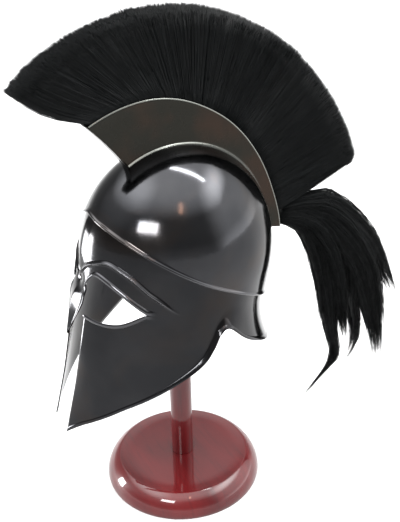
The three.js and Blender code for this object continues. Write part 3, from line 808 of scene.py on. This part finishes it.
def brush_hairs(name, count, points, start, across):
    """Hairs that start at a share of the brush's depth and end at its trimmed outline. across
    is each hair's place from one side, -1, to the other, 1."""
    clump = RNG.integers(0, BRUSH_CLUMPS, count)
    clump_s = (np.arange(BRUSH_CLUMPS) + 0.5) / BRUSH_CLUMPS
    clump_reach = RNG.normal(0, 1.0, BRUSH_CLUMPS)
    clump_shade = RNG.random(BRUSH_CLUMPS)
    s = clamp01(clump_s[clump] + RNG.normal(0, 0.0032, count))
    inwards = np.where(s < 0.03, 1, np.where(s > 0.97, -1, RNG.choice([-1, 1], count)))
    fan = inwards * np.abs(RNG.normal(0, 0.5, count))
    strays = np.where(RNG.random(count) < 0.004, RNG.normal(0, 2.5, count), 0)
    reach = trimmed(s) + clump_reach[clump] - 5 * np.abs(across) ** 3
    end = 1 - 0.03 * RNG.random(count) ** 2
    r = start[:, None] + (end - start)[:, None] * np.linspace(0, 1, points)
    s, across, reach, fan = (np.broadcast_to(values[:, None], r.shape)
                             for values in (s, across, reach, fan + strays))
    paths = brush_path(s, across, r, reach, fan)
    bow = RNG.normal(0, 0.5, (count, 1, 3)) * np.sin(math.pi * clamp01(r))[..., None]
    radii = np.linspace(0.45, 0.2, points) * RNG.uniform(0.8, 1.15, (count, 1))
    shades = clamp01(0.3 * clump_shade[clump] + 0.7 * RNG.random(count))
    return hair_mesh(name, on_stand(paths + bow), radii, shades)


for index in range(BRUSH_PIECES):
    across = RNG.choice([-1, 1], HAIRS_PER_PIECE) * (1 - 0.3 * RNG.random(HAIRS_PER_PIECE) ** 1.5)
    start = np.where(RNG.random(HAIRS_PER_PIECE) < 0.7, -0.06, RNG.uniform(0, 0.6, HAIRS_PER_PIECE))
    hairs = brush_hairs(f"brush_hairs_{index + 1}", HAIRS_PER_PIECE, HAIR_POINTS, start, across)
    finished(hairs, "crest_brush", HAIR, 0)
for index in range(BRUSH_PIECES):
    across = RNG.uniform(-1, 1, BRISTLES_PER_PIECE)
    start = RNG.uniform(0.86, 0.93, BRISTLES_PER_PIECE)
    hairs = brush_hairs(f"brush_trimmed_ends_{index + 1}", BRISTLES_PER_PIECE, BRISTLE_POINTS,
                        start, across)
    finished(hairs, "crest_brush", HAIR, 0)

# The tail falls behind from the holder's rear end. Each lock: the x it swings to, the points of
# its centre line (y, z on the stand), its half width at the belly, the share of its length where
# it starts to narrow, and the share of the belly that is left at its end.
TAIL_ROOT, TAIL_CLUMPS = 8.0, 9
TAIL_PIECES, TAIL_HAIRS, TAIL_POINTS = 2, 4000, 9
TAIL_LOCKS = [
    (4, [(150, 360), (211, 360), (265, 322), (306, 274), (335, 226), (364, 172)], 15, 0.55, 0.4),
    (-5, [(150, 358), (209, 352), (259, 311), (300, 256), (324, 196), (343, 131), (352, 70)], 18,
     0.5, 0.3),
    (8, [(150, 355), (207, 346), (253, 302), (288, 249), (308, 191), (323, 131), (336, 64)], 19,
     0.5, 0.4),
    (-9, [(150, 352), (203, 341), (244, 297), (273, 240), (291, 179), (302, 123), (288, 84),
          (262, 78)], 18, 0.45, 0.25),
    (6, [(150, 351), (198, 338), (232, 295), (252, 242), (263, 186), (274, 117)], 17, 0.5, 0.45),
    (-2, [(149, 349), (191, 333), (216, 293), (231, 243), (240, 193), (249, 138), (261, 101),
          (238, 80), (200, 42)], 15, 0.42, 0.07),
    (3, [(149, 347), (187, 328), (207, 292), (220, 250), (226, 204), (226, 160)], 11, 0.5, 0.4),
]


def along(line, t):
    """Points at shares t of the length of a smooth line through the given (y, z) points."""
    line = np.array(line, float)
    gaps = np.concatenate([[0], np.cumsum(np.hypot(*np.diff(line, axis=0).T))])
    gaps /= gaps[-1]
    return through(*zip(gaps, line[:, 0]))(t), through(*zip(gaps, line[:, 1]))(t)


def tail_hairs(name, count, points):
    """Hairs that follow the locks of the tail, in clumps that part toward their ends."""
    shape = (count, points)
    t = np.broadcast_to(np.linspace(0, 1, points), shape)
    lock = RNG.integers(0, len(TAIL_LOCKS), count)
    clump = RNG.integers(0, TAIL_CLUMPS, count)
    clumps = (len(TAIL_LOCKS), TAIL_CLUMPS)
    clump_turn = RNG.uniform(0, 2 * math.pi, clumps)
    clump_out = np.sqrt(RNG.uniform(0.05, 1, clumps))
    clump_end = RNG.uniform(0.76, 1.0, clumps)
    turn, out = clump_turn[lock, clump], clump_out[lock, clump]
    end = clump_end[lock, clump] * RNG.uniform(0.86, 1.0, count)
    share = t * end[:, None]
    y, z, x, half = (np.empty(shape) for _ in range(4))
    for k, (swing, line, belly, narrowing, splay) in enumerate(TAIL_LOCKS):
        mine = lock == k
        y[mine], z[mine] = along(line, share[mine])
        x[mine] = swing * smooth(share[mine] * 3)
        swell = mix(TAIL_ROOT, belly, smooth(share[mine] / 0.3))
        ending = smooth((share[mine] - narrowing) / (1 - narrowing)) ** 0.8
        half[mine] = mix(swell, splay * belly, ending)
    dy, dz = np.gradient(y, axis=1), np.gradient(z, axis=1)
    size = np.hypot(dy, dz)
    ny, nz = -dz / size, dy / size
    jitter_turn = RNG.uniform(0, 2 * math.pi, (count, 1))
    jitter = np.sqrt(RNG.random((count, 1))) * mix(0.5, 0.2, smooth(t * 1.1))
    jitter = jitter * np.where(RNG.random((count, 1)) < 0.04, 1 + 2 * t, 1)
    a = out[:, None] * np.cos(turn)[:, None] + jitter * np.cos(jitter_turn)
    b = out[:, None] * np.sin(turn)[:, None] + jitter * np.sin(jitter_turn)
    wave = RNG.uniform(0, 6.28, (count, 1))
    curl = np.sin(5 * t + wave) * smooth(t * 1.5)
    paths = stack(x + 0.8 * half * b + curl, y + half * a * ny + curl, z + half * a * nz)
    radii = mix(0.48, 0.2, t) * RNG.uniform(0.75, 1.15, (count, 1))
    return hair_mesh(name, paths, radii, RNG.random(count))


for index in range(TAIL_PIECES):
    hairs = tail_hairs(f"tail_hairs_{index + 1}", TAIL_HAIRS, TAIL_POINTS)
    finished(hairs, "crest_tail", HAIR, 0)


# ---------------------------------------------------------------- the stand
def turned(name, profile, sides):
    """A turned piece: a filled circle, extruded and resized ring by ring, and closed again."""
    deselect()
    (radius, height), rest = profile[0], profile[1:]
    bpy.ops.mesh.primitive_circle_add(vertices=sides, radius=radius * MM, fill_type="TRIFAN",
                                      location=(0, 0, 0))
    piece = named(name)
    bpy.ops.object.mode_set(mode="EDIT")
    bpy.ops.transform.translate(value=(0, 0, height * MM))
    bpy.ops.mesh.select_all(action="DESELECT")
    bpy.ops.mesh.select_non_manifold()
    for r, z in rest:
        bpy.ops.mesh.extrude_edges_move(TRANSFORM_OT_translate={"value": (0, 0, (z - height) * MM)})
        bpy.ops.transform.resize(value=(r / radius, r / radius, 1), center_override=(0, 0, z * MM))
        radius, height = r, z
    bpy.ops.mesh.merge(type="CENTER")
    bpy.ops.mesh.select_all(action="SELECT")
    bpy.ops.mesh.normals_make_consistent(inside=False)
    bpy.ops.object.mode_set(mode="OBJECT")
    return piece


def arc(centre_r, centre_z, radius, start, end, parts):
    """Profile points round an arc, its angle measured out from straight up in degrees."""
    turns = np.radians(np.linspace(start, end, parts + 1))
    return [(centre_r + radius * math.sin(a), centre_z + radius * math.cos(a)) for a in turns]


BASE_TOP = 30.0
base_profile = ([(60, 0), (103.2, 0), (104.3, 0.5)] + arc(72.98, 1.75, 32.0, 87, 28, 18)
                + [(87.6, BASE_TOP + 0.1), (87.1, BASE_TOP + 0.15)]
                + [(r, BASE_TOP) for r in (86.4, 70, 30, 6, 1)])
stand_base = turned("stand_base_wood", base_profile, 180)
finished(stand_base, "stand_base", WOOD, 35)

POST_RADIUS = 14.6
post_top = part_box("stand_post")[1][2] / MM
post_profile = ([(4, BASE_TOP + 0.02), (POST_RADIUS - 0.5, BASE_TOP + 0.02),
                 (POST_RADIUS, BASE_TOP + 0.5)]
                + [(POST_RADIUS, z) for z in np.linspace(60, post_top - POST_RADIUS, 8)]
                + arc(0, post_top - POST_RADIUS, POST_RADIUS, 88, 6, 10))
stand_post = turned("stand_post_wood", post_profile, 72)
finished(stand_post, "stand_post", WOOD, 35)

# ---------------------------------------------------------------- floor, lights and camera
FLOOR_SIZE = 120

deselect()
bpy.ops.mesh.primitive_plane_add(size=FLOOR_SIZE)
floor = named("floor")
floor.data.materials.append(pale_floor())


def softbox(name, direction, distance, size, radiance, aim=(0, 0, 0.36), colour=(1, 1, 1), turn=0.0):
    """A rectangular light that faces the helmet from a direction, by the light it gives off."""
    light = bpy.data.lights.new(name, "AREA")
    light.shape = "RECTANGLE"
    light.size, light.size_y = size
    light.energy = radiance * math.pi * size[0] * size[1]
    light.color = colour
    lamp = bpy.data.objects.new(name, light)
    bpy.context.collection.objects.link(lamp)
    away = Vector(direction).normalized()
    spin = away.to_track_quat("Z", "Y").to_matrix().to_4x4() @ Matrix.Rotation(turn, 4, "Z")
    lamp.matrix_world = Matrix.Translation(Vector(aim) + away * distance) @ spin
    return lamp


def toward(azimuth, elevation):
    """A direction by its azimuth, from the helmet's front to its left, and its elevation."""
    a, e = math.radians(azimuth), math.radians(elevation)
    return (math.sin(a) * math.cos(e), -math.cos(a) * math.cos(e), math.sin(e))


softbox("window", toward(40, 26.5), 1.7, (0.56, 0.32), 38)
softbox("tube", (0.12, 0.20, 0.97), 1.3, (0.75, 0.09), 55, turn=1.25)
softbox("front_panel", toward(-36, -11), 0.9, (0.19, 0.46), 60, aim=(0.01, -0.12, 0.34))
softbox("warm_lamp", (0.68, -0.18, 0.71), 1.6, (0.26, 0.07), 15, colour=(1, 0.55, 0.36), turn=1.4)

world = bpy.data.worlds.new("studio")
bpy.context.scene.world = world
world.use_nodes = True
tree = world.node_tree
coords = tree.nodes.new("ShaderNodeTexCoord")
split = tree.nodes.new("ShaderNodeSeparateXYZ")
ramp = tree.nodes.new("ShaderNodeValToRGB")
tree.links.new(coords.outputs["Generated"], split.inputs[0])
tree.links.new(split.outputs["Z"], ramp.inputs[0])
tree.links.new(ramp.outputs[0], tree.nodes["Background"].inputs["Color"])

# The room's light by the height of the direction it comes from: pale low down, bright overhead.
SKY = [(0.0, 1.05), (0.18, 0.5), (0.58, 0.6), (0.82, 4.2), (1.0, 4.8)]
while len(ramp.color_ramp.elements) < len(SKY):
    ramp.color_ramp.elements.new(0.5)
for stop, (height, level) in zip(ramp.color_ramp.elements, SKY):
    stop.position, stop.color = height, rgb(level, level, level)


def bright_patch(direction, edge, full, around, inside):
    """A soft round patch of the room: what it multiplies the light by, around it and inside it.
    edge and full are the cosines of the angles from its middle where it starts and is whole."""
    facing = tree.nodes.new("ShaderNodeVectorMath")
    facing.operation = "DOT_PRODUCT"
    facing.inputs[1].default_value = Vector(direction).normalized()
    tree.links.new(coords.outputs["Generated"], facing.inputs[0])
    patch = tree.nodes.new("ShaderNodeMapRange")
    patch.interpolation_type = "SMOOTHSTEP"
    for key, value in (("From Min", edge), ("From Max", full), ("To Min", around),
                       ("To Max", inside)):
        patch.inputs[key].default_value = value
    tree.links.new(facing.outputs["Value"], patch.inputs["Value"])
    return patch.outputs["Result"]


strength = tree.nodes.new("ShaderNodeMath")
tree.links.new(bright_patch((-0.15, -0.70, 0.70), 0.80, 0.99, 1.0, 2.2), strength.inputs[0])
tree.links.new(bright_patch((0.42, 0.80, 0.34), 0.66, 0.98, 0.0, 5.0), strength.inputs[1])
tree.links.new(strength.outputs[0], tree.nodes["Background"].inputs["Strength"])

camera = bpy.data.objects.new("camera", bpy.data.cameras.new("camera"))
bpy.context.collection.objects.link(camera)
camera.data.sensor_fit = "VERTICAL"
camera.data.sensor_height = 36.0
camera.data.lens = 48.28
camera.data.clip_start, camera.data.clip_end = 0.02, 60
EYE, LOOK, ROLL = Vector((0.7165, -0.3265, 0.6677)), Vector((0, 0.0338, 0.3084)), 1.35
camera.matrix_world = (Matrix.Translation(EYE)
                       @ (LOOK - EYE).to_track_quat("-Z", "Y").to_matrix().to_4x4()
                       @ Matrix.Rotation(math.radians(-ROLL), 4, "Z"))
bpy.context.scene.camera = camera
bpy.context.scene.view_settings.view_transform = "Standard"
